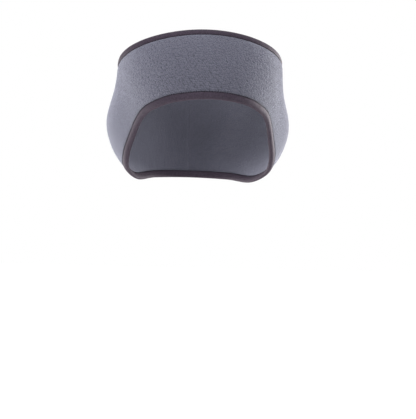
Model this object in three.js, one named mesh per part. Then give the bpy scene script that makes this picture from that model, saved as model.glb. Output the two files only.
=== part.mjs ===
// Fleece ear-warmer headband: a stretch fleece loop, bound along both edges with folded elastic tape.
// Millimetres. +Z is up, -Y is the forehead side, X runs from ear to ear.
// The origin is the middle of the head opening at ear level.
import * as THREE from "three";

// Head form that the middle of the cloth follows
const HALF_BREADTH = 78;
const BREADTH_LEVEL = 56.5;
const CROWN_LEVEL = 109.5;
const FRONT_REACH = 98.5;
const BROW_LEVEL = 15.5;
const BACK_REACH = 95.5;
const OCCIPUT_LEVEL = 15.5;
const NAPE_REACH = 75;
const HALF_HEM_BREADTH = 51;
const HEM_LEVEL = -51;
const CHEEK_POWER = 1.8;

// Rounded stand-off of the cloth over each ear
const EAR_STAND = 20;
const EAR_MIDDLE_Y = 4.5;
const EAR_LEVEL = -16.5;
const EAR_FORE_SPAN = 32.5;
const EAR_AFT_SPAN = 52;
const EAR_HALF_HEIGHT = 42;
const EAR_FADE_ALONG = 2;
const EAR_FADE_UPWARD = 2.5;

// Upper edge, a loop that slopes from the forehead down to the back
const TOP_FRONT_LEVEL = 85.3;
const TOP_SIDE_LEVEL = 62.8;
const TOP_BACK_LEVEL = 41;

// Lower edge: how far it has dropped at each turn from the middle of the forehead
const FACE_EDGE_LEVEL = 18.2;
const FLAP_DROP = 72;
const LOWER_EDGE = [
  { turnDeg: 0, dropShare: 0 },
  { turnDeg: 25, dropShare: 0.04 },
  { turnDeg: 40, dropShare: 0.11 },
  { turnDeg: 52, dropShare: 0.195 },
  { turnDeg: 62, dropShare: 0.34 },
  { turnDeg: 72, dropShare: 0.555 },
  { turnDeg: 83, dropShare: 0.8 },
  { turnDeg: 95, dropShare: 0.935 },
  { turnDeg: 112, dropShare: 1 },
  { turnDeg: 140, dropShare: 0.96 },
  { turnDeg: 180, dropShare: 0.94 },
];

// Cloth and tape
const FLEECE_WALL = 2.6;
const PRESSED_WALL = 1.2;
const TAPE_WIDTH = 8;
const TAPE_WALL = 0.9;
const TAPE_PADDING = 0.4;
const CLEARANCE = 0.3;
const SHOULDER = 1.6;

// Fineness of the mesh
const STATIONS = 72;
const MIDDLE_ROWS = 7;
const FINE_STEPS = 720;

const radians = (degrees) => (degrees * Math.PI) / 180;

function breadthAt(level) {
  if (level > BREADTH_LEVEL) {
    const rise = (level - BREADTH_LEVEL) / (CROWN_LEVEL - BREADTH_LEVEL);
    return HALF_BREADTH * Math.sqrt(1 - rise ** 2);
  }
  const fall = (BREADTH_LEVEL - level) / (BREADTH_LEVEL - HEM_LEVEL);
  return HALF_BREADTH - (HALF_BREADTH - HALF_HEM_BREADTH) * fall ** CHEEK_POWER;
}

function frontReachAt(level) {
  const rise = Math.max(0, level - BROW_LEVEL) / (CROWN_LEVEL - BROW_LEVEL);
  return FRONT_REACH * Math.sqrt(1 - rise ** 2);
}

function backReachAt(level) {
  if (level > OCCIPUT_LEVEL) {
    const rise = (level - OCCIPUT_LEVEL) / (CROWN_LEVEL - OCCIPUT_LEVEL);
    return BACK_REACH * Math.sqrt(1 - rise ** 2);
  }
  const fall = (OCCIPUT_LEVEL - level) / (OCCIPUT_LEVEL - HEM_LEVEL);
  return BACK_REACH - (BACK_REACH - NAPE_REACH) * fall ** 2;
}

// A point in the middle of the cloth, by turn from the forehead and by level
function clothPoint(turn, level) {
  const across = Math.sin(turn);
  const forward = Math.cos(turn);
  const reach = forward > 0 ? frontReachAt(level) : backReachAt(level);
  const y = -reach * forward;
  const span = y < EAR_MIDDLE_Y ? EAR_FORE_SPAN : EAR_AFT_SPAN;
  const away = Math.abs((y - EAR_MIDDLE_Y) / span) ** EAR_FADE_ALONG;
  const above = Math.abs((level - EAR_LEVEL) / EAR_HALF_HEIGHT) ** EAR_FADE_UPWARD;
  const stand = EAR_STAND * Math.exp(-away - above) * Math.sqrt(Math.abs(across));
  const x = breadthAt(level) * across + Math.sign(across) * stand;
  return new THREE.Vector3(x, y, level);
}

function clothFrame(turn, level) {
  const small = 0.001;
  const round = clothPoint(turn + small, level).sub(clothPoint(turn - small, level));
  const rise = clothPoint(turn, level + small).sub(clothPoint(turn, level - small));
  round.divideScalar(2 * small);
  rise.divideScalar(2 * small);
  const outward = new THREE.Vector3().crossVectors(round, rise).normalize();
  return { round, rise, outward };
}

// The place on the cloth nearest to a target, starting from a place close to it
function settle(place, target) {
  let { turn, level } = place;
  for (let pass = 0; pass < 4; pass += 1) {
    const miss = target.clone().sub(clothPoint(turn, level));
    const { round, rise } = clothFrame(turn, level);
    const a = round.dot(round);
    const b = round.dot(rise);
    const c = rise.dot(rise);
    const p = miss.dot(round);
    const q = miss.dot(rise);
    turn += (c * p - b * q) / (a * c - b * b);
    level += (a * q - b * p) / (a * c - b * b);
  }
  return { turn, level };
}

// A straight slope past the ears that eases off toward the back
function topLevel(turn) {
  const forward = Math.cos(turn);
  const rise = TOP_FRONT_LEVEL - TOP_SIDE_LEVEL;
  const eased = rise - (TOP_SIDE_LEVEL - TOP_BACK_LEVEL);
  return TOP_SIDE_LEVEL + rise * forward + eased * Math.min(0, forward) ** 2;
}

// Smooth curve through the rows of the lower edge, level at both ends
function lowerLevel(turn) {
  const folded = Math.abs(Math.atan2(Math.sin(turn), Math.cos(turn)));
  const last = LOWER_EDGE.length - 1;
  let k = 0;
  while (k < last - 1 && folded > radians(LOWER_EDGE[k + 1].turnDeg)) {
    k += 1;
  }
  const start = radians(LOWER_EDGE[k].turnDeg);
  const length = radians(LOWER_EDGE[k + 1].turnDeg) - start;
  const slopeAt = (j) => {
    if (j === 0 || j === last) {
      return 0;
    }
    const before = LOWER_EDGE[j - 1];
    const after = LOWER_EDGE[j + 1];
    return (after.dropShare - before.dropShare) / radians(after.turnDeg - before.turnDeg);
  };
  const u = (folded - start) / length;
  const share =
    (1 + 2 * u) * (1 - u) ** 2 * LOWER_EDGE[k].dropShare +
    u * (1 - u) ** 2 * length * slopeAt(k) +
    u ** 2 * (3 - 2 * u) * LOWER_EDGE[k + 1].dropShare +
    u ** 2 * (u - 1) * length * slopeAt(k + 1);
  return FACE_EDGE_LEVEL - FLAP_DROP * share;
}

// Turns of the stations, evenly spaced along the lower edge
function stationTurns() {
  const reached = [0];
  for (let i = 1; i <= FINE_STEPS; i += 1) {
    const from = ((i - 1) / FINE_STEPS) * 2 * Math.PI;
    const to = (i / FINE_STEPS) * 2 * Math.PI;
    const step = clothPoint(to, lowerLevel(to)).distanceTo(clothPoint(from, lowerLevel(from)));
    reached.push(reached[i - 1] + step);
  }
  const turns = [];
  let i = 0;
  for (let k = 0; k < STATIONS; k += 1) {
    const wanted = (reached[FINE_STEPS] * k) / STATIONS;
    while (reached[i + 1] <= wanted) {
      i += 1;
    }
    const share = (wanted - reached[i]) / (reached[i + 1] - reached[i]);
    turns.push(((i + share) / FINE_STEPS) * 2 * Math.PI);
  }
  return turns;
}

// The place on the cloth a given distance in from an edge, measured square to that edge
function inFromEdge(levelOf, upward, turn, distance) {
  const small = 0.001;
  const edge = { turn, level: levelOf(turn) };
  const here = clothPoint(edge.turn, edge.level);
  const ahead = clothPoint(turn + small, levelOf(turn + small));
  const { outward } = clothFrame(edge.turn, edge.level);
  const along = ahead.sub(here).normalize();
  const into = new THREE.Vector3().crossVectors(outward, along).normalize();
  const target = here.clone().addScaledVector(into, upward * distance);
  return settle(edge, target);
}

function lifted(place, height) {
  const { outward } = clothFrame(place.turn, place.level);
  return clothPoint(place.turn, place.level).addScaledVector(outward, height);
}

// Closed ring through equal sections, facing outward
function ringMesh(name, colour, roughness, sections) {
  const points = sections[0].length;
  const positions = [];
  for (const section of sections) {
    for (const point of section) {
      positions.push(point.x, point.y, point.z);
    }
  }
  const index = [];
  for (let i = 0; i < sections.length; i += 1) {
    const next = (i + 1) % sections.length;
    for (let j = 0; j < points; j += 1) {
      const up = (j + 1) % points;
      const a = i * points + j;
      const b = next * points + j;
      const c = next * points + up;
      const d = i * points + up;
      index.push(a, b, c, a, c, d);
    }
  }
  const geometry = new THREE.BufferGeometry();
  geometry.setAttribute("position", new THREE.Float32BufferAttribute(positions, 3));
  geometry.setIndex(index);
  geometry.computeVertexNormals();
  const material = new THREE.MeshStandardMaterial({ color: colour, roughness, metalness: 0 });
  const mesh = new THREE.Mesh(geometry, material);
  mesh.name = name;
  return mesh;
}

// Fleece loop: full thickness in the middle, pressed thin where the tape holds it
function fleeceSection(turn) {
  const covered = [
    { distance: TAPE_WALL + CLEARANCE, half: PRESSED_WALL / 2 },
    { distance: TAPE_WIDTH / 2, half: PRESSED_WALL / 2 },
    { distance: TAPE_WIDTH + CLEARANCE, half: PRESSED_WALL / 2 },
    { distance: TAPE_WIDTH + CLEARANCE + SHOULDER, half: FLEECE_WALL / 2 },
  ];
  const lower = covered.map((row) => {
    return { place: inFromEdge(lowerLevel, 1, turn, row.distance), half: row.half };
  });
  const upper = covered.map((row) => {
    return { place: inFromEdge(topLevel, -1, turn, row.distance), half: row.half };
  });
  const from = lower[lower.length - 1].place;
  const to = upper[upper.length - 1].place;
  const middle = [];
  for (let k = 1; k <= MIDDLE_ROWS; k += 1) {
    const share = k / (MIDDLE_ROWS + 1);
    const place = {
      turn: from.turn + (to.turn - from.turn) * share,
      level: from.level + (to.level - from.level) * share,
    };
    middle.push({ place, half: FLEECE_WALL / 2 });
  }
  const rows = [...lower, ...middle, ...upper.reverse()];
  const outside = rows.map((row) => lifted(row.place, row.half));
  const inside = rows.map((row) => lifted(row.place, -row.half));
  return [...outside, ...inside.reverse()];
}

// Folded tape: a padded channel whose two legs hold the pressed cloth between them
function tapeSection(levelOf, upward, turn) {
  const bore = PRESSED_WALL / 2 + CLEARANCE;
  const face = bore + TAPE_WALL;
  const padded = face + TAPE_PADDING;
  const leg = [
    { distance: TAPE_WIDTH, height: bore },
    { distance: TAPE_WIDTH, height: (bore + face) / 2 },
    { distance: TAPE_WIDTH * 0.9, height: face },
    { distance: TAPE_WIDTH * 0.6, height: padded },
    { distance: TAPE_WIDTH * 0.3, height: padded },
    { distance: TAPE_WALL, height: face },
    { distance: 0, height: bore / 2 },
  ];
  const bottom = [
    { distance: TAPE_WALL, height: bore },
    { distance: TAPE_WIDTH / 2, height: bore },
  ];
  const turned = (rows) => rows.map((row) => ({ distance: row.distance, height: -row.height }));
  const outline = [...leg, ...turned(leg).reverse(), ...turned(bottom).reverse(), ...bottom];
  const points = outline.map((row) => {
    return lifted(inFromEdge(levelOf, upward, turn, row.distance), row.height);
  });
  return upward > 0 ? points.reverse() : points;
}

const turns = stationTurns();
const headband = new THREE.Group();
headband.name = "ear_warmer_headband";
headband.add(ringMesh("fleece_band", "#6e6e79", 0.95, turns.map((turn) => fleeceSection(turn))));
headband.add(
  ringMesh("top_binding", "#4e4650", 0.85, turns.map((turn) => tapeSection(topLevel, -1, turn))),
);
headband.add(
  ringMesh("lower_binding", "#4e4650", 0.85, turns.map((turn) => tapeSection(lowerLevel, 1, turn))),
);

export default headband;
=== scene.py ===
# %% [markdown]
# # A fleece ear-warmer headband
#
# The object is one closed loop of stretch fleece, tall at the forehead, whose lower edge dips over
# both ears. A dark elastic tape is folded over each edge and sewn down with a dark thread.
#
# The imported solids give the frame: where the cloth lies and how big it is. This lesson makes the
# same pieces again as cloth, with a nap, pressed edges, rounded tape and stitches.

# %% Load the frame
import math

import bpy
import numpy as np
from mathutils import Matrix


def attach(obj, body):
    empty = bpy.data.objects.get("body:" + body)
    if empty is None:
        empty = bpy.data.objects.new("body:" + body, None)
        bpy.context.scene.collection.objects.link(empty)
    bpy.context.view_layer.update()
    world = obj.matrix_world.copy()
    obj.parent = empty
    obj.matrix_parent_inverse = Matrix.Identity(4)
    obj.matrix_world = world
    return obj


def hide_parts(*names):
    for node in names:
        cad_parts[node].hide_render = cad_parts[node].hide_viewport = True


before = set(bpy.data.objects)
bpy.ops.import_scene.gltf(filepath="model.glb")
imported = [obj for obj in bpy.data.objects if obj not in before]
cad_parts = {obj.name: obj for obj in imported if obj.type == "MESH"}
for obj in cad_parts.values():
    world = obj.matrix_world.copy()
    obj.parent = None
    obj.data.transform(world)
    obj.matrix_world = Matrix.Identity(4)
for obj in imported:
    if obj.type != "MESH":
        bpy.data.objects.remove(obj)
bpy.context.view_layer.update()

MM = 0.001
rng = np.random.default_rng(7)
print("nodes in the frame:", sorted(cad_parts))

# %% [markdown]
# ## The camera
#
# The camera comes first, so that every later look is taken from the photograph's place. It stands
# level, one and a half metres in front and a hand's breadth below the band, with a long lens, so
# the band sits high in the picture. It is turned a few degrees to one side and rolled a little,
# because the band in the photograph is not quite square to the camera.

# %% Set the camera
CAMERA_DISTANCE = 1.5
CAMERA_AZIMUTH = math.radians(-6.5)
CAMERA_ROLL = math.radians(1.6)
CAMERA_DROP = 0.0816
CAMERA_SIDESTEP = 0.0115
PIXELS_WIDE = 416
METRES_PER_PIXEL = 0.00097


def set_camera():
    lens = bpy.data.cameras.new("camera")
    lens.sensor_fit = "HORIZONTAL"
    lens.lens = lens.sensor_width * CAMERA_DISTANCE / (METRES_PER_PIXEL * PIXELS_WIDE)
    camera = bpy.data.objects.new("camera", lens)
    bpy.context.scene.collection.objects.link(camera)
    turn = CAMERA_AZIMUTH
    across = np.array([math.cos(turn), math.sin(turn), 0])
    back = np.array([math.sin(turn), -math.cos(turn), 0])
    place = back * CAMERA_DISTANCE + across * CAMERA_SIDESTEP
    camera.location = (place[0], place[1], -CAMERA_DROP)
    camera.rotation_euler = (math.pi / 2, -CAMERA_ROLL, turn)
    bpy.context.scene.camera = camera
    return camera


camera = set_camera()
print("lens in millimetres:", round(camera.data.lens, 1))

# %% [markdown]
# ## The worn form
#
# Stretch fleece has no shape of its own: worn, it takes the shape that it is stretched over. So it
# is described first as a form, by its breadth, its front reach and its back reach at each level,
# with a rounded stand-off over each ear. The sizes are those of the solids, in millimetres.

# %% Sizes of the worn form
HALF_BREADTH = 78
BREADTH_LEVEL = 56.5
CROWN_LEVEL = 109.5
FRONT_REACH = 98.5
BROW_LEVEL = 15.5
BACK_REACH = 95.5
OCCIPUT_LEVEL = 15.5
NAPE_REACH = 75
HALF_HEM_BREADTH = 51
HEM_LEVEL = -51
CHEEK_POWER = 1.8
EAR_STAND = 20
EAR_MIDDLE_Y = 4.5
EAR_LEVEL = -16.5
EAR_FORE_SPAN = 32.5
EAR_AFT_SPAN = 52
EAR_HALF_HEIGHT = 42
EAR_FADE_ALONG = 2
EAR_FADE_UPWARD = 2.5


def breadth_at(level):
    rise = np.maximum(level - BREADTH_LEVEL, 0) / (CROWN_LEVEL - BREADTH_LEVEL)
    fall = np.maximum(BREADTH_LEVEL - level, 0) / (BREADTH_LEVEL - HEM_LEVEL)
    above = HALF_BREADTH * np.sqrt(1 - rise**2)
    below = HALF_BREADTH - (HALF_BREADTH - HALF_HEM_BREADTH) * fall**CHEEK_POWER
    return np.where(level > BREADTH_LEVEL, above, below)


def front_reach_at(level):
    rise = np.maximum(level - BROW_LEVEL, 0) / (CROWN_LEVEL - BROW_LEVEL)
    return FRONT_REACH * np.sqrt(1 - rise**2)


def back_reach_at(level):
    rise = np.maximum(level - OCCIPUT_LEVEL, 0) / (CROWN_LEVEL - OCCIPUT_LEVEL)
    fall = np.maximum(OCCIPUT_LEVEL - level, 0) / (OCCIPUT_LEVEL - HEM_LEVEL)
    below = BACK_REACH - (BACK_REACH - NAPE_REACH) * fall**2
    return np.where(level > OCCIPUT_LEVEL, BACK_REACH * np.sqrt(1 - rise**2), below)


def cloth_point(turn, level):
    across, forward = np.sin(turn), np.cos(turn)
    y = -np.where(forward > 0, front_reach_at(level), back_reach_at(level)) * forward
    span = np.where(y < EAR_MIDDLE_Y, EAR_FORE_SPAN, EAR_AFT_SPAN)
    away = np.abs((y - EAR_MIDDLE_Y) / span) ** EAR_FADE_ALONG
    above = np.abs((level - EAR_LEVEL) / EAR_HALF_HEIGHT) ** EAR_FADE_UPWARD
    stand = EAR_STAND * np.exp(-away - above) * np.sqrt(np.abs(across))
    x = breadth_at(level) * across + np.sign(across) * stand
    return np.stack([x, y, level + 0 * x], axis=-1)


def dot(a, b):
    return np.sum(a * b, axis=-1)


def unit(a):
    return a / np.linalg.norm(a, axis=-1, keepdims=True)


def cloth_frame(turn, level):
    small = 0.001
    around = (cloth_point(turn + small, level) - cloth_point(turn - small, level)) / (2 * small)
    rise = (cloth_point(turn, level + small) - cloth_point(turn, level - small)) / (2 * small)
    return around, rise, unit(np.cross(around, rise))


ear = cloth_point(np.array(math.pi / 2), np.array(float(EAR_LEVEL)))
print("cloth over the ear at x =", round(float(ear[0]), 1), "mm")

# %% [markdown]
# ## The two edges
#
# The upper edge is nearly a flat cut that slopes down toward the back. The lower edge runs high
# across the forehead, drops in front of each ear and stays low round the nape. It is a smooth
# curve through a short table: how much of the whole drop is reached at each turn from the middle
# of the forehead.

# %% Edge curves
TOP_FRONT_LEVEL = 85.3
TOP_SIDE_LEVEL = 62.8
TOP_BACK_LEVEL = 41
FACE_EDGE_LEVEL = 18.2
FLAP_DROP = 72
EDGE_TURN = np.radians([0, 25, 40, 52, 62, 72, 83, 95, 112, 140, 180])
EDGE_SHARE = np.array([0, 0.04, 0.11, 0.195, 0.34, 0.555, 0.8, 0.935, 1, 0.96, 0.94])


def top_level(turn):
    forward = np.cos(turn)
    rise = TOP_FRONT_LEVEL - TOP_SIDE_LEVEL
    eased = rise - (TOP_SIDE_LEVEL - TOP_BACK_LEVEL)
    return TOP_SIDE_LEVEL + rise * forward + eased * np.minimum(0, forward) ** 2


def lower_level(turn):
    folded = np.abs(np.arctan2(np.sin(turn), np.cos(turn)))
    k = np.clip(np.searchsorted(EDGE_TURN, folded) - 1, 0, len(EDGE_TURN) - 2)
    slope = np.zeros(len(EDGE_TURN))
    slope[1:-1] = (EDGE_SHARE[2:] - EDGE_SHARE[:-2]) / (EDGE_TURN[2:] - EDGE_TURN[:-2])
    length = EDGE_TURN[k + 1] - EDGE_TURN[k]
    u = (folded - EDGE_TURN[k]) / length
    share = (1 + 2 * u) * (1 - u) ** 2 * EDGE_SHARE[k] + u * (1 - u) ** 2 * length * slope[k]
    share += u**2 * (3 - 2 * u) * EDGE_SHARE[k + 1] + u**2 * (u - 1) * length * slope[k + 1]
    return FACE_EDGE_LEVEL - FLAP_DROP * share


print("height at the forehead:", top_level(0) - float(lower_level(np.array(0.0))), "mm")

# %% [markdown]
# ## Measuring on the cloth
#
# A tape is as wide as it is, however steep its edge runs, so widths are measured square to the
# edge and along the curved cloth. `in_from_edge` takes a step square to the edge and then settles
# back on to the cloth. `even_turns` spaces columns evenly by length along a line of the cloth.

# %% Measuring helpers


def settle(turn, level, target):
    for _ in range(4):
        miss = target - cloth_point(turn, level)
        around, rise, _ = cloth_frame(turn, level)
        a, b, c = dot(around, around), dot(around, rise), dot(rise, rise)
        p, q = dot(miss, around), dot(miss, rise)
        turn = turn + (c * p - b * q) / (a * c - b * b)
        level = level + (a * q - b * p) / (a * c - b * b)
    return turn, level


def in_from_edge(level_of, upward, turn, distance):
    small = 0.001
    here = cloth_point(turn, level_of(turn))
    ahead = cloth_point(turn + small, level_of(turn + small))
    _, _, outward = cloth_frame(turn, level_of(turn))
    into = unit(np.cross(outward, unit(ahead - here)))
    target = here + into * upward * np.asarray(distance)[..., None]
    return settle(turn, level_of(turn), target)


def lifted(turn, level, height):
    _, _, outward = cloth_frame(turn, level)
    return cloth_point(turn, level) + outward * np.asarray(height)[..., None]


def even_turns(level_of):
    turns = np.linspace(-math.pi, math.pi, 7201)
    line = cloth_point(turns, level_of(turns))
    reached = np.concatenate([[0], np.cumsum(np.linalg.norm(np.diff(line, axis=0), axis=1))])
    length = reached[-1]
    return length, lambda u: np.interp(np.asarray(u) * length, reached, turns)


def middle_level(turn):
    return (top_level(turn) + lower_level(turn)) / 2


band_length, band_turn = even_turns(middle_level)
top_length, top_turn = even_turns(top_level)
lower_length, lower_turn = even_turns(lower_level)
lengths = [round(n) for n in (band_length, top_length, lower_length)]
print("round the middle, the upper and the lower edge:", lengths, "mm")

# %% [markdown]
# ## Unevenness
#
# Real cloth is never perfectly even. `wander` is a smooth random wave that closes on itself round
# the loop: a few sine waves whose strengths and starts are drawn once from a fixed seed. It is
# used for slight puffs along the seams and for the way the fleece relaxes between its edges.

# %% A smooth random wave


def wander(count, lowest, highest):
    waves = np.arange(lowest, highest + 1)
    size = rng.normal(size=(count, len(waves))) / np.sqrt(len(waves))
    start = rng.uniform(0, 2 * math.pi, size=(count, len(waves)))

    def wave(row, u):
        angle = 2 * math.pi * np.asarray(u)[..., None] * waves + start[row]
        return np.sum(size[row] * np.sin(angle), axis=-1)

    return wave


slow_wave = wander(4, 5, 14)
seam_wave = wander(4, 25, 70)
print("slow wave at three places:", np.round(slow_wave(0, np.array([0.1, 0.4, 0.8])), 2))

# %% [markdown]
# ## The fleece
#
# A maker cuts a flat strip and sews its ends together, and it is worn stretched. The same is
# done here: a grid primitive is the flat strip, doubled over so that its breadth runs up the
# outside of the cloth and down the inside. Its vertices are laid on the worn form, and its edges
# are merged at the centre back and along the fold.
#
# The outside gets most of the rows, because the nap is modelled there. The cloth is thin where the
# tape presses it and full in the middle, so a soft shoulder rises beside each tape. That is what
# catches the light along the edges of real fleece. A measure of the way up the cloth, `up`, is
# taken along its surface, so that the tufts keep their size on the curved sides.

# %% Helpers for a strip of cloth


def flat_strip(name, around, across):
    bpy.ops.object.select_all(action="DESELECT")
    bpy.ops.mesh.primitive_grid_add(x_subdivisions=around, y_subdivisions=across, size=1)
    strip = bpy.context.object
    strip.name = name
    return strip


def flat_places(strip):
    flat = np.empty(len(strip.data.vertices) * 3)
    strip.data.vertices.foreach_get("co", flat)
    flat = flat.reshape(-1, 3)
    return flat[:, 0] + 0.5, flat[:, 1] + 0.5


def lay(strip, points):
    strip.data.vertices.foreach_set("co", (points * MM).ravel())
    strip.data.update()


def close_loop(strip):
    bpy.context.view_layer.objects.active = strip
    bpy.ops.object.mode_set(mode="EDIT")
    bpy.ops.mesh.select_all(action="SELECT")
    bpy.ops.mesh.remove_doubles(threshold=0.00001)
    bpy.ops.object.mode_set(mode="OBJECT")


def apply_modifiers(piece):
    bpy.context.view_layer.objects.active = piece
    for modifier in list(piece.modifiers):
        bpy.ops.object.modifier_apply(modifier=modifier.name)


def smooth(piece):
    bpy.ops.object.select_all(action="DESELECT")
    piece.select_set(True)
    bpy.ops.object.shade_smooth()


def triangles(piece):
    return sum(len(face.vertices) - 2 for face in piece.data.polygons)


# %% Lay the fleece on the worn form
FLEECE_WALL = 2.6
PRESSED_WALL = 1.2
TAPE_WIDTH = 8
TAPE_GAP = 0.4
CLOTH_EDGE = 1.3
SHOULDER = 2.4
TOP_CINCH = 0.4
LOWER_CINCH = 0.3
CINCH_REACH = 15
FLEECE_COLUMNS = 700
OUTSIDE_ROWS = 128
INSIDE_ROWS = 14
OUTSIDE_STOPS = ([0, 3, 11, 117, 125, 128], [0, 0.55, 1, 2, 2.45, 3])
INSIDE_STOPS = ([0, 1, 4, 10, 13, 14], [3, 2.45, 2, 1, 0.55, 0])


def fleece_rows(v):
    """Place across the cloth, 0 at its lower edge and 3 at its upper, and which face it is on."""
    row = np.round(v * (OUTSIDE_ROWS + INSIDE_ROWS))
    outside = np.interp(row, *OUTSIDE_STOPS)
    inside = np.interp(row - OUTSIDE_ROWS, *INSIDE_STOPS)
    at_edge = (row == 0) | (row == OUTSIDE_ROWS) | (row == OUTSIDE_ROWS + INSIDE_ROWS)
    face = np.where(at_edge, 0, np.where(row < OUTSIDE_ROWS, 1, -1))
    return np.where(row <= OUTSIDE_ROWS, outside, inside), face


def cinch(distance, pulled_in):
    """How far the elastic tape draws the cloth inward, at a distance from the edge."""
    return pulled_in * np.exp(-((distance / CINCH_REACH) ** 2))


def fullness(distance):
    """Half the cloth's thickness at a distance in from the edge: pressed, then a round shoulder."""
    rise = np.clip((distance - TAPE_WIDTH - TAPE_GAP) / SHOULDER, 0, 1)
    round_rise = np.sqrt(1 - (1 - rise) ** 2)
    return (PRESSED_WALL + (FLEECE_WALL - PRESSED_WALL) * round_rise) / 2


fleece = flat_strip("fleece", FLEECE_COLUMNS, OUTSIDE_ROWS + INSIDE_ROWS)
u, v = flat_places(fleece)
across, face = fleece_rows(v)
shoulder_end = TAPE_WIDTH + SHOULDER
low = CLOTH_EDGE + (shoulder_end - CLOTH_EDGE) * np.clip(across, 0, 1)
high = CLOTH_EDGE + (shoulder_end - CLOTH_EDGE) * np.clip(3 - across, 0, 1)
share = np.clip(across - 1, 0, 1)
turn = band_turn(u)
low_turn, low_level = in_from_edge(lower_level, 1, turn, low)
high_turn, high_level = in_from_edge(top_level, -1, turn, high)
cloth_turn = low_turn + (high_turn - low_turn) * share
cloth_level = low_level + (high_level - low_level) * share

on_form = cloth_point(cloth_turn, cloth_level).reshape(-1, FLEECE_COLUMNS + 1, 3)
steps = np.linalg.norm(np.diff(on_form, axis=0), axis=2)
up = np.concatenate([np.zeros((1, FLEECE_COLUMNS + 1)), np.cumsum(steps, axis=0)])
up = (up - up[OUTSIDE_ROWS // 2]).ravel()
fold_to_fold = np.sum(steps[:OUTSIDE_ROWS], axis=0)
up = up * np.tile(np.sqrt(fold_to_fold.min() / fold_to_fold), OUTSIDE_ROWS + INSIDE_ROWS + 1)
narrowest, broadest = round(fold_to_fold.min()), round(fold_to_fold.max())
print("cloth breadth from fold to fold:", narrowest, "to", broadest, "mm")

# %% Thickness and slackness of the cloth
SLACK = 0.5
MIDDLE_BREADTH = 80
TOP_BREADTH = 1.04
LOWER_BREADTH = 0.92
SEAM_HALF_WIDTH = 1.3
SEWN_SHARE = 0.5
LEAN = 0.06

relax = SLACK * slow_wave(0, u + LEAN * share) * np.sin(math.pi * share)
relax -= cinch(low + MIDDLE_BREADTH * share, LOWER_CINCH)
relax -= cinch(high + MIDDLE_BREADTH * (1 - share), TOP_CINCH)
from_back_seam = (1 - np.abs(2 * u - 1)) * band_length / 2
sewn_down = SEWN_SHARE * np.exp(-((from_back_seam / SEAM_HALF_WIDTH) ** 2))
half = np.minimum(fullness(low / LOWER_BREADTH), fullness(high / TOP_BREADTH)) * (1 - sewn_down)
print("half the cloth's thickness:", round(half.min(), 2), "to", round(half.max(), 2), "mm")

# %% [markdown]
# ## The nap
#
# Fleece is brushed and shorn, so its face is a field of small soft tufts, about two millimetres
# apart, with dark creases between them. Hair would be far too heavy, and a bump alone would leave
# the outline smooth, so the tufts are real relief. Their middles stand on a honeycomb, each pushed
# a little off its place. A tuft falls away from its middle like a bell, is longer along the slant
# that the cloth was brushed in, and has its own loft.
#
# The nap lies flatter where the cloth is stretched most, over the ears, and it is pressed down in
# the seam at the centre back. The inside stays plain. The domes are also kept on the mesh as an
# attribute named `tuft`, so that the finish can paint shade into the creases between the tufts.
# The same attribute paints light over the ears: the cloth there is made paler, standing in for the
# light that falls on the flaps.

# %% Tufts on a honeycomb
TUFT = 2.0
NAP = 1.0
TUFTS_AROUND = round(band_length / TUFT)
TUFT_ROWS = 100
ROW_STEP = 0.87
BELL = 0.45
BRUSHED = 1.35
OWN_LOFT = 0.5
DRIFT = 0.21
scatter = rng.uniform(-DRIFT, DRIFT, size=(TUFTS_AROUND, TUFT_ROWS, 3))


def tuft_domes(u, up):
    """About one on the top of a tuft and near nought in the creases between tufts."""
    x, y = u * TUFTS_AROUND, up / (ROW_STEP * TUFT)
    heap = np.zeros(x.shape)
    for above in (-1, 0, 1):
        row = np.round(y) + above
        for beside in (-1, 0, 1):
            column = np.round(x - 0.5 * (row % 2)) + beside
            drift = scatter[column.astype(int) % TUFTS_AROUND, row.astype(int) % TUFT_ROWS]
            gap_x = column + 0.5 * (row % 2) + drift[..., 0] - x
            gap_y = ROW_STEP * (row + drift[..., 1] - y)
            lengthwise = (gap_x - gap_y) / math.sqrt(2) / BRUSHED
            sideways = (gap_x + gap_y) / math.sqrt(2) * BRUSHED
            bell = np.exp(-(lengthwise**2 + sideways**2) / BELL**2)
            bell = bell * (1 + OWN_LOFT * drift[..., 2])
            heap += bell**3
    return np.cbrt(heap)


print("tufts around the band:", TUFTS_AROUND)

# %% Raise the nap and close the loop
MIDDLE_OF_NAP = 0.45
PLAIN_INSIDE = 0.4
STRETCHED_LENGTH = 38
STRETCHED_HEIGHT = 80
PRESSED_SHARE = 0.7
# How much paler the cloth is painted over the ears: painted light for the lit flaps.
PAINTED_FLAP_LIGHT = 0.75

loft = np.clip((half * 2 - PRESSED_WALL) / (FLEECE_WALL - PRESSED_WALL), 0, 1)
along_from_ear = (cloth_point(cloth_turn, cloth_level)[:, 1] - EAR_MIDDLE_Y) / STRETCHED_LENGTH
up_from_ear = (cloth_level - EAR_LEVEL) / STRETCHED_HEIGHT
ear_stretch_and_painted_light = np.exp(-(along_from_ear**2) - up_from_ear**2)
domes = np.where(face < 0, PLAIN_INSIDE, tuft_domes(u, up))
nap = NAP * (domes - MIDDLE_OF_NAP) * loft * (1 - PRESSED_SHARE * ear_stretch_and_painted_light)
lay(fleece, lifted(cloth_turn, cloth_level, relax + face * (half + nap)))

# Painted light and shade: the tuft attribute is low in the creases, which the finish paints darker,
# and is raised over the ears, where the cloth is painted paler to stand in for the light on the
# flaps.
tuft = fleece.data.attributes.new("tuft", "FLOAT", "POINT")
tuft.data.foreach_set("value", domes + PAINTED_FLAP_LIGHT * ear_stretch_and_painted_light * (1 - domes))
close_loop(fleece)
smooth(fleece)
print("fleece:", triangles(fleece), "triangles,", [round(float(c), 4) for c in fleece.dimensions])

# %% [markdown]
# ## The folded tape
#
# Each edge is bound with a strip of elastic tape, folded in half along its length over the edge
# of the fleece and sewn through both legs. Its outside is padded and round, with a narrow groove
# where the stitches pull it down close to its own edge. The strip is again a flat grid: its length
# follows the edge of the band and its breadth follows a short table of the folded section. The
# lower tape is plump, which takes up some of its breadth, so it covers a little less of the
# cloth. The upper one is stretched tighter: it lies a fifth flatter and a little broader.

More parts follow.
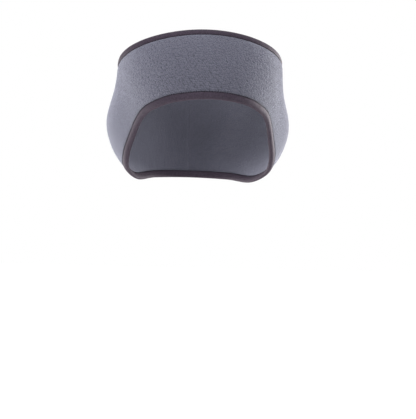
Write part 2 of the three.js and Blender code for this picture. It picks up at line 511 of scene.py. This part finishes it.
# %% Section of the folded tape
TAPE_COLUMNS = 1100
TAPE_ROWS = 34
TAPE_WALL = 0.8
STITCH_PITCH = 2.3
GROOVE = 7.45
GROOVE_HALF_WIDTH = 0.8
PULL_DOWN = 0.28
PULL_ACROSS = 0.16
PUFF = 0.02
UNEVEN = 0.06
EVEN_RIM = 4
ROUNDING = 25
SECTION_DISTANCE = np.array([8.0, 7.9, 7.45, 6.6, 5.2, 3.9, 2.5, 1.2, 0.35, 0.0])
SECTION_HEIGHT = np.array([1.1, 1.35, 1.15, 1.75, 2.15, 2.25, 2.1, 1.6, 0.9, 0.0])
TOP_PLUMPNESS = 0.8
LOWER_PLUMPNESS = 1.0


def smooth_section(v):
    """Distance in from the edge and height off the cloth, from the outer leg to the inner leg."""
    distance = np.concatenate([SECTION_DISTANCE, SECTION_DISTANCE[-2::-1]])
    height = np.concatenate([SECTION_HEIGHT, -SECTION_HEIGHT[-2::-1]])
    steps = np.hypot(np.diff(distance), np.diff(height))
    reached = np.concatenate([[0], np.cumsum(steps)]) / steps.sum()
    fine = np.linspace(0, 1, 401)
    rows = []
    for values in (distance, height):
        straight = np.interp(fine, reached, values)
        before = 2 * straight[0] - straight[ROUNDING - 1 : 0 : -1]
        after = 2 * straight[-1] - straight[-2 : -ROUNDING - 1 : -1]
        kernel = np.hanning(ROUNDING)
        padded = np.concatenate([before, straight, after])
        rounded = np.convolve(padded, kernel / kernel.sum(), "same")
        rows.append(np.interp(v, fine, rounded[ROUNDING - 1 : 1 - ROUNDING]))
    return rows


def make_tape(name, edge, length, wave_row):
    level_of, upward, turn_of, pulled_in, plumpness, breadth = edge
    strip = flat_strip(name, TAPE_COLUMNS, TAPE_ROWS)
    u, v = flat_places(strip)
    distance, height = smooth_section(v if upward < 0 else 1 - v)
    count = round(length / STITCH_PITCH)
    pull = 0.5 + 0.5 * np.cos(2 * math.pi * count * u)
    groove = np.exp(-(((distance - GROOVE) / GROOVE_HALF_WIDTH) ** 2))
    puff = 1 + PUFF * seam_wave(wave_row, u) + PUFF * slow_wave(wave_row, u)
    height = height * plumpness * puff - np.sign(height) * PULL_DOWN * pull * groove
    uneven = UNEVEN * seam_wave(wave_row, u + 0.3) * (distance > EVEN_RIM)
    distance = np.maximum(distance + PULL_ACROSS * pull * (distance > GROOVE) + uneven, 0)
    place = in_from_edge(level_of, upward, turn_of(u), distance * breadth)
    lay(strip, lifted(*place, height - cinch(distance, pulled_in)))
    close_loop(strip)
    wall = strip.modifiers.new("wall", "SOLIDIFY")
    wall.thickness = TAPE_WALL * MM
    wall.offset = -1
    apply_modifiers(strip)
    smooth(strip)
    print(name, triangles(strip), "triangles,", count, "stitches a side")
    return strip, count


top_edge = (top_level, -1, top_turn, TOP_CINCH, TOP_PLUMPNESS, TOP_BREADTH)
lower_edge = (lower_level, 1, lower_turn, LOWER_CINCH, LOWER_PLUMPNESS, LOWER_BREADTH)
top_tape, top_count = make_tape("top_tape", top_edge, top_length, 1)
lower_tape, lower_count = make_tape("lower_tape", lower_edge, lower_length, 2)

# %% [markdown]
# ## The stitches
#
# A dark thread runs along each groove on both faces. One stitch is modelled from a sphere
# primitive, stretched to a grain of thread, and repeated along the groove with its own small
# changes of slant, because hand-guided sewing is never exact.

# %% Model one stitch and repeat it
THREAD = 1.0
STITCH_LENGTH = 1.9
STITCH_ROW = 7.7
STITCH_HEIGHT = 1.22
SLANT = 0.4
ROW_SPREAD = 0.06
HEIGHT_SPREAD = 0.03
SLANT_SPREAD = 0.06


def one_stitch():
    bpy.ops.object.select_all(action="DESELECT")
    bpy.ops.mesh.primitive_uv_sphere_add(segments=6, ring_count=5, radius=0.5)
    stitch = bpy.context.object
    points = np.empty(len(stitch.data.vertices) * 3)
    stitch.data.vertices.foreach_get("co", points)
    points = points.reshape(-1, 3) * [THREAD, THREAD, STITCH_LENGTH]
    faces = [tuple(face.vertices) for face in stitch.data.polygons]
    bpy.data.objects.remove(stitch)
    return points, faces


def sew(name, edge, count):
    level_of, upward, turn_of, pulled_in, plumpness, breadth = edge
    points, faces = one_stitch()
    u = (np.arange(count) + 0.5) / count
    all_points, all_faces = [], []
    for side in (1, -1):
        distance = (STITCH_ROW + rng.normal(0, ROW_SPREAD, count)) * breadth
        height = side * (STITCH_HEIGHT * plumpness + rng.normal(0, HEIGHT_SPREAD, count))
        height = height - cinch(distance, pulled_in)
        here = lifted(*in_from_edge(level_of, upward, turn_of(u), distance), height)
        ahead = lifted(*in_from_edge(level_of, upward, turn_of(u) + 0.002, distance), height)
        _, _, outward = cloth_frame(*in_from_edge(level_of, upward, turn_of(u), distance))
        along = unit(ahead - here)
        beside = np.cross(outward, along)
        slant = side * upward * rng.normal(SLANT, SLANT_SPREAD, count)[:, None]
        run = unit(along + slant * beside)
        cross = unit(np.cross(outward, run))
        for i in range(count):
            offset = len(all_points) * len(points)
            spun = points[:, :1] * outward[i] + points[:, 1:2] * cross[i] + points[:, 2:] * run[i]
            all_points.append(here[i] + spun)
            all_faces.extend(tuple(k + offset for k in face) for face in faces)
    mesh = bpy.data.meshes.new(name)
    mesh.from_pydata((np.concatenate(all_points) * MM).tolist(), [], all_faces)
    row = bpy.data.objects.new(name, mesh)
    bpy.context.scene.collection.objects.link(row)
    bpy.context.view_layer.objects.active = row
    bpy.ops.object.mode_set(mode="EDIT")
    bpy.ops.mesh.select_all(action="SELECT")
    bpy.ops.mesh.normals_make_consistent(inside=False)
    bpy.ops.object.mode_set(mode="OBJECT")
    smooth(row)
    print(name, triangles(row), "triangles")
    return row


top_stitches = sew("top_stitches", top_edge, top_count)
lower_stitches = sew("lower_stitches", lower_edge, lower_count)

# %% [markdown]
# ## Finishes
#
# Fleece is a tangle of fine fibres: it scatters light, has almost no gloss and glows toward its
# edges, where the fibres stand against the light. The tangle is one shader group, used at several
# sizes. The tape is a fine knit with a faint satin shine.

# %% A shader group for tangled fibres


def new_group(name, inputs, outputs):
    tree = bpy.data.node_groups.new(name, "ShaderNodeTree")
    for label, kind, value in inputs:
        socket = tree.interface.new_socket(label, in_out="INPUT", socket_type=kind)
        if value is not None:
            socket.default_value = value
    for label, kind in outputs:
        tree.interface.new_socket(label, in_out="OUTPUT", socket_type=kind)
    return tree, tree.nodes.new("NodeGroupInput"), tree.nodes.new("NodeGroupOutput")


def math_node(tree, operation, a, b):
    node = tree.nodes.new("ShaderNodeMath")
    node.operation = operation
    for socket, value in zip(node.inputs, (a, b)):
        if isinstance(value, (int, float)):
            socket.default_value = value
        else:
            tree.links.new(value, socket)
    return node.outputs[0]


def noise_node(tree, vector, scale, detail, distortion=0.0):
    node = tree.nodes.new("ShaderNodeTexNoise")
    node.inputs["Detail"].default_value = detail
    node.inputs["Distortion"].default_value = distortion
    tree.links.new(vector, node.inputs["Vector"])
    if isinstance(scale, (int, float)):
        node.inputs["Scale"].default_value = scale
    else:
        tree.links.new(scale, node.inputs["Scale"])
    return node.outputs["Fac"]


def stretched(tree, value, low, high):
    node = tree.nodes.new("ShaderNodeMapRange")
    node.inputs["From Min"].default_value = low
    node.inputs["From Max"].default_value = high
    tree.links.new(value, node.inputs["Value"])
    return node.outputs["Result"]


def tangle_group():
    tree, given, result = new_group(
        "fibre_tangle",
        [
            ("Vector", "NodeSocketVector", None),
            ("Scale", "NodeSocketFloat", 900.0),
            ("Curl", "NodeSocketFloat", 0.4),
        ],
        [("Height", "NodeSocketFloat"), ("Patches", "NodeSocketFloat")],
    )
    vector, scale, curl = (given.outputs[name] for name in ("Vector", "Scale", "Curl"))
    tufts = stretched(tree, noise_node(tree, vector, scale, 1.0, 0.6), 0.32, 0.68)
    curls = noise_node(tree, vector, math_node(tree, "MULTIPLY", scale, 0.8), 1.0, 1.0)
    crease = math_node(tree, "ABSOLUTE", math_node(tree, "SUBTRACT", curls, 0.5), 0)
    worms = math_node(tree, "MINIMUM", math_node(tree, "MULTIPLY", crease, 9.0), 1.0)
    fibre = noise_node(tree, vector, math_node(tree, "MULTIPLY", scale, 4.0), 2.0)
    plain = math_node(tree, "MULTIPLY", tufts, math_node(tree, "SUBTRACT", 0.8, curl))
    curled = math_node(tree, "MULTIPLY", worms, curl)
    tangled = math_node(tree, "ADD", plain, curled)
    loose = math_node(tree, "MULTIPLY", fibre, 0.2)
    tree.links.new(math_node(tree, "ADD", tangled, loose), result.inputs["Height"])
    broad = noise_node(tree, vector, math_node(tree, "MULTIPLY", scale, 0.09), 3.0)
    tree.links.new(broad, result.inputs["Patches"])
    return tree


fibre_tangle = tangle_group()
print("shader group:", fibre_tangle.name)

# %% Finish of the fleece
# The dark grey is painted shade, laid into the creases between the tufts; the light grey is the
# fleece's colour on the tops of the tufts.
CREASE_SHADE_GREY = (0.01, 0.01, 0.013)
TUFT_GREY = (0.29, 0.292, 0.336)


def mix_colours(tree, share, dark, light):
    node = tree.nodes.new("ShaderNodeMix")
    node.data_type = "RGBA"
    tree.links.new(share, node.inputs["Factor"])
    node.inputs["A"].default_value = (*dark, 1)
    node.inputs["B"].default_value = (*light, 1)
    return node.outputs["Result"]


def new_material(name):
    material = bpy.data.materials.new(name)
    material.use_nodes = True
    tree = material.node_tree
    shader = tree.nodes["Principled BSDF"]
    return material, tree, shader


def wear(piece, material):
    piece.data.materials.clear()
    piece.data.materials.append(material)


def fleece_finish():
    material, tree, shader = new_material("grey_fleece")
    places = tree.nodes.new("ShaderNodeTexCoord")
    tangle = tree.nodes.new("ShaderNodeGroup")
    tangle.node_tree = fibre_tangle
    tangle.inputs["Scale"].default_value = 1150
    tangle.inputs["Curl"].default_value = 0.4
    tree.links.new(places.outputs["Object"], tangle.inputs["Vector"])
    tuft = tree.nodes.new("ShaderNodeAttribute")
    tuft.attribute_name = "tuft"
    # The colour follows the grain of the fibre tangle, broad patches of tone, and the tuft
    # attribute, which paints shade into the creases between tufts and paints light over the ears.
    shade = math_node(tree, "MULTIPLY", tangle.outputs["Height"], 0.35)
    shade = math_node(tree, "ADD", shade, math_node(tree, "MULTIPLY", tuft.outputs["Fac"], 0.85))
    patches = math_node(tree, "MULTIPLY", tangle.outputs["Patches"], 0.05)
    shade = math_node(tree, "ADD", shade, patches)
    colour = mix_colours(tree, shade, CREASE_SHADE_GREY, TUFT_GREY)
    tree.links.new(colour, shader.inputs["Base Color"])
    bump = tree.nodes.new("ShaderNodeBump")
    bump.inputs["Strength"].default_value = 0.9
    bump.inputs["Distance"].default_value = 0.0008
    tree.links.new(tangle.outputs["Height"], bump.inputs["Height"])
    tree.links.new(bump.outputs["Normal"], shader.inputs["Normal"])
    shader.inputs["Roughness"].default_value = 0.95
    shader.inputs["Specular IOR Level"].default_value = 0.15
    shader.inputs["Sheen Weight"].default_value = 0.8
    shader.inputs["Sheen Roughness"].default_value = 0.45
    shader.inputs["Sheen Tint"].default_value = (0.9, 0.9, 1.0, 1)
    return material


wear(fleece, fleece_finish())
print("the fleece wears:", fleece.data.materials[0].name)

# %% Finish of the tape and the thread
DARK_TAUPE = (0.033, 0.025, 0.032)
TAUPE = (0.121, 0.094, 0.116)
BLACK_THREAD = (0.009, 0.007, 0.010)
DARK_THREAD = (0.028, 0.024, 0.030)


def tape_finish():
    material, tree, shader = new_material("taupe_tape")
    places = tree.nodes.new("ShaderNodeTexCoord")
    tangle = tree.nodes.new("ShaderNodeGroup")
    tangle.node_tree = fibre_tangle
    tangle.inputs["Scale"].default_value = 1500
    tangle.inputs["Curl"].default_value = 0.3
    tree.links.new(places.outputs["Object"], tangle.inputs["Vector"])
    colour = mix_colours(tree, tangle.outputs["Height"], DARK_TAUPE, TAUPE)
    tree.links.new(colour, shader.inputs["Base Color"])
    bump = tree.nodes.new("ShaderNodeBump")
    bump.inputs["Strength"].default_value = 0.4
    bump.inputs["Distance"].default_value = 0.0002
    tree.links.new(tangle.outputs["Height"], bump.inputs["Height"])
    tree.links.new(bump.outputs["Normal"], shader.inputs["Normal"])
    shader.inputs["Roughness"].default_value = 0.7
    shader.inputs["Specular IOR Level"].default_value = 0.1
    return material


def thread_finish():
    material, tree, shader = new_material("dark_thread")
    places = tree.nodes.new("ShaderNodeTexCoord")
    twist = noise_node(tree, places.outputs["Object"], 2600, 1.0)
    colour = mix_colours(tree, twist, BLACK_THREAD, DARK_THREAD)
    tree.links.new(colour, shader.inputs["Base Color"])
    shader.inputs["Roughness"].default_value = 0.7
    return material


taupe = tape_finish()
wear(top_tape, taupe)
wear(lower_tape, taupe)
dark_thread = thread_finish()
wear(top_stitches, dark_thread)
wear(lower_stitches, dark_thread)
print("tapes and stitches wear:", taupe.name, "and", dark_thread.name)

# %% [markdown]
# ## Light and floor
#
# The photograph is a catalogue picture on white. A soft box stands a little behind the band on
# each side, at its own height, so its sides are clearly lighter than its front and the rims of
# the tape catch no hard line. Weaker boxes fill the front, the top and the back, and the room
# around is a soft grey for the light while the camera sees it as white.

# %% Soft boxes
COOL = (0.95, 0.95, 1.08)


def soft_box(name, azimuth, elevation, distance, size, power, colour=(1, 1, 1)):
    lamp = bpy.data.lights.new(name, "AREA")
    lamp.color = colour
    lamp.shape = "RECTANGLE"
    lamp.size, lamp.size_y = size
    lamp.energy = power
    light = bpy.data.objects.new(name, lamp)
    bpy.context.scene.collection.objects.link(light)
    a, e = math.radians(azimuth), math.radians(elevation)
    light.location = (
        distance * math.sin(a) * math.cos(e),
        -distance * math.cos(a) * math.cos(e),
        distance * math.sin(e),
    )
    light.rotation_euler = (math.pi / 2 - e, 0, a)
    return light


soft_box("left_box", -134, -16, 1.6, (0.9, 0.8), 33)
soft_box("right_box", 122, 1, 1.6, (0.9, 0.8), 61)
soft_box("front_key", -33, 20, 1.8, (0.7, 0.5), 9, COOL)
soft_box("top_box", 0, 70, 1.8, (0.9, 0.9), 8, COOL)
soft_box("back_box", 180, 60, 1.8, (0.9, 0.9), 6)
print("soft boxes:", [light.name for light in bpy.data.lights])

# %% Floor and room
FLOOR_LEVEL = -1.3
SOFT_GREY = (0.355, 0.357, 0.41)
WHITE = (1.0, 1.0, 1.0)

bpy.ops.object.select_all(action="DESELECT")
bpy.ops.mesh.primitive_plane_add(size=60, location=(0, 0, FLOOR_LEVEL))
floor = bpy.context.object
floor.name = "floor"
pale, _, pale_shader = new_material("pale_floor")
pale_shader.inputs["Base Color"].default_value = (0.92, 0.92, 0.92, 1)
pale_shader.inputs["Roughness"].default_value = 0.8
pale_shader.inputs["Emission Color"].default_value = (1, 1, 1, 1)
to_camera = pale.node_tree.nodes.new("ShaderNodeLightPath")
glow = math_node(pale.node_tree, "MULTIPLY", to_camera.outputs["Is Camera Ray"], 0.8)
pale.node_tree.links.new(glow, pale_shader.inputs["Emission Strength"])
wear(floor, pale)

world = bpy.data.worlds.new("white_room")
bpy.context.scene.world = world
world.use_nodes = True
room = world.node_tree.nodes["Background"]
seen = world.node_tree.nodes.new("ShaderNodeLightPath")
room_colour = mix_colours(world.node_tree, seen.outputs["Is Camera Ray"], SOFT_GREY, WHITE)
world.node_tree.links.new(room_colour, room.inputs["Color"])
bpy.context.scene.view_settings.view_transform = "Standard"
print("floor at:", FLOOR_LEVEL, "m, room:", world.name)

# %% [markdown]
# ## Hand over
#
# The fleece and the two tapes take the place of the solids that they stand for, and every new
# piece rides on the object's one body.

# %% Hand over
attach(fleece, "root")
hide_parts("fleece_band")
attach(top_tape, "root")
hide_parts("top_binding")
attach(lower_tape, "root")
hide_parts("lower_binding")
for row in (top_stitches, lower_stitches):
    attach(row, "root")
